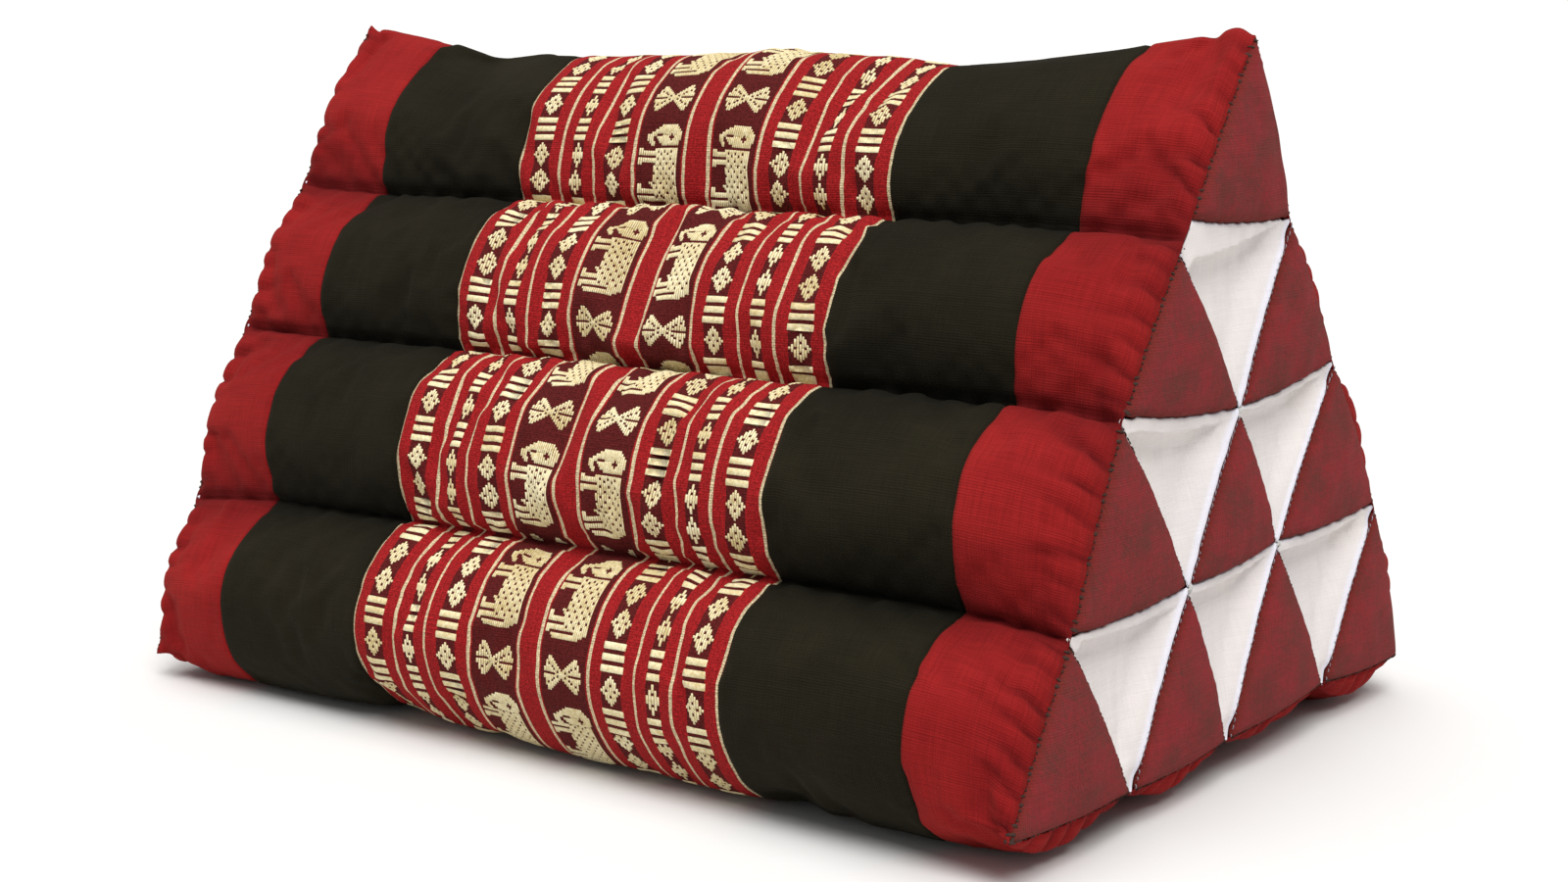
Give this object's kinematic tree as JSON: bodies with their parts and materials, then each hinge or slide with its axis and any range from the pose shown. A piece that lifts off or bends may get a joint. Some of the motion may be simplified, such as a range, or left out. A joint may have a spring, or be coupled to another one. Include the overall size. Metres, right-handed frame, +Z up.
{
  "type": "thai triangle cushion",
  "caption": "Three-sided floor cushion: stuffed tubes stacked in rows under a pieced cotton cover with sewn channels, with capped tube ends and white gussets.",
  "frame": {"origin": "on the floor under the middle of the whole cushion", "axes": "+X along the tubes, towards the end with the more swollen rolls; -Y is the side of the slope that the picture shows; +Z up to the ridge"},
  "size_m": [0.5314, 0.3484, 0.3194],
  "materials": {
    "red_cotton": "plain woven cotton, matt",
    "black_cotton": "plain woven cotton, matt",
    "figured_cotton": "cotton brocade with cream floats",
    "cap_cotton": "shot cotton, dark red and brown threads, matt",
    "white_cotton": "plain white cotton, matt"
  },
  "bodies": {
    "root": {"cover_red_left": "red_cotton", "cover_black_left": "black_cotton", "cover_pattern": "figured_cotton", "cover_black_right": "black_cotton", "cover_red_right": "red_cotton", "cap_left_1_1": "cap_cotton", "cap_left_2_1": "cap_cotton", "cap_left_2_2": "cap_cotton", "cap_left_3_1": "cap_cotton", "cap_left_3_2": "cap_cotton", "cap_left_3_3": "cap_cotton", "cap_left_4_1": "cap_cotton", "cap_left_4_2": "cap_cotton", "cap_left_4_3": "cap_cotton", "cap_left_4_4": "cap_cotton", "gusset_left_1_1": "white_cotton", "gusset_left_2_1": "white_cotton", "gusset_left_2_2": "white_cotton", "gusset_left_3_1": "white_cotton", "gusset_left_3_2": "white_cotton", "gusset_left_3_3": "white_cotton", "cap_right_1_1": "cap_cotton", "cap_right_2_1": "cap_cotton", "cap_right_2_2": "cap_cotton", "cap_right_3_1": "cap_cotton", "cap_right_3_2": "cap_cotton", "cap_right_3_3": "cap_cotton", "cap_right_4_1": "cap_cotton", "cap_right_4_2": "cap_cotton", "cap_right_4_3": "cap_cotton", "cap_right_4_4": "cap_cotton", "gusset_right_1_1": "white_cotton", "gusset_right_2_1": "white_cotton", "gusset_right_2_2": "white_cotton", "gusset_right_3_1": "white_cotton", "gusset_right_3_2": "white_cotton", "gusset_right_3_3": "white_cotton"}
  },
  "joints": []
}
